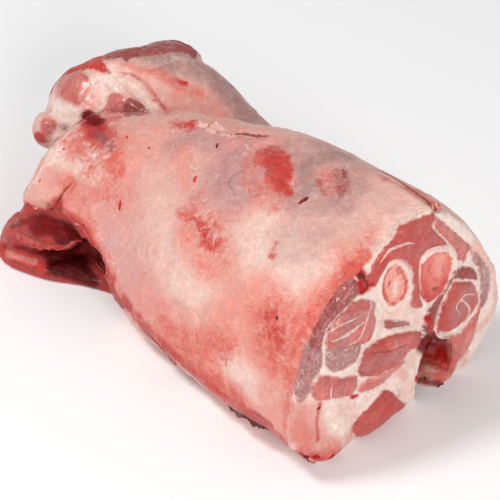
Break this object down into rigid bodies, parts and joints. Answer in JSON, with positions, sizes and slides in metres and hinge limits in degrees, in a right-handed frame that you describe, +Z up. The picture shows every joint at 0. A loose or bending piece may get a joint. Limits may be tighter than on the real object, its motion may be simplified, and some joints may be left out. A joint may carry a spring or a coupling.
{
  "type": "raw lamb neck",
  "caption": "Raw bone-in lamb neck cut: a long fat-covered piece of meat with a sawn face that shows muscles and cut bone, lying on its flat underside.",
  "frame": {"origin": "middle of the part's box at the height of the table it lies on", "axes": "+X along the cut towards the sawn face with the bones, +Z up, -Y to the front half with the wide skin"},
  "size_m": [0.2604, 0.1418, 0.1076],
  "materials": {
    "meat": "moist raw lamb: pale pink skin fat with fine streaks, dark pink muscle and blood stains",
    "bone": "moist sawn bone: pale ring of cartilage round a pink core with red dots"
  },
  "bodies": {
    "root": {"neck_meat": "meat", "neck_bone_front": "bone", "neck_bone_rear": "bone"}
  },
  "joints": []
}
